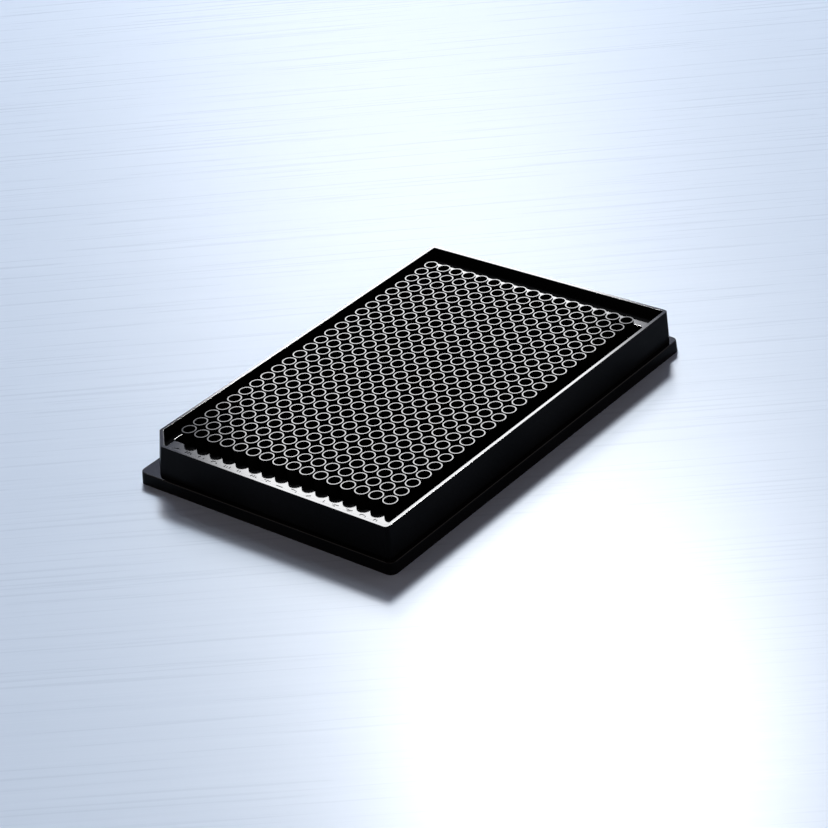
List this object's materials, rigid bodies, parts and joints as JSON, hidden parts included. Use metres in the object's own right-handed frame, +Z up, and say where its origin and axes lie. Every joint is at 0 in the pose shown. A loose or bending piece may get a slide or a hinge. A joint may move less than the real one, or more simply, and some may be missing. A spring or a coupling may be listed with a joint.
{
  "type": "microplate",
  "caption": "Low black multi-well laboratory plate with round raised wells in a sunken pocket, a thin collar, one chamfered corner and a foot flange.",
  "frame": {"origin": "centre of the footprint, on the face it stands on", "axes": "+X along the long side, away from well A1; +Y along the short side, towards the row of well A1; +Z up"},
  "size_m": [0.1278, 0.0854, 0.0127],
  "materials": {
    "black_plastic": "smooth moulded black"
  },
  "bodies": {
    "root": {"plate": "black_plastic"}
  },
  "joints": []
}
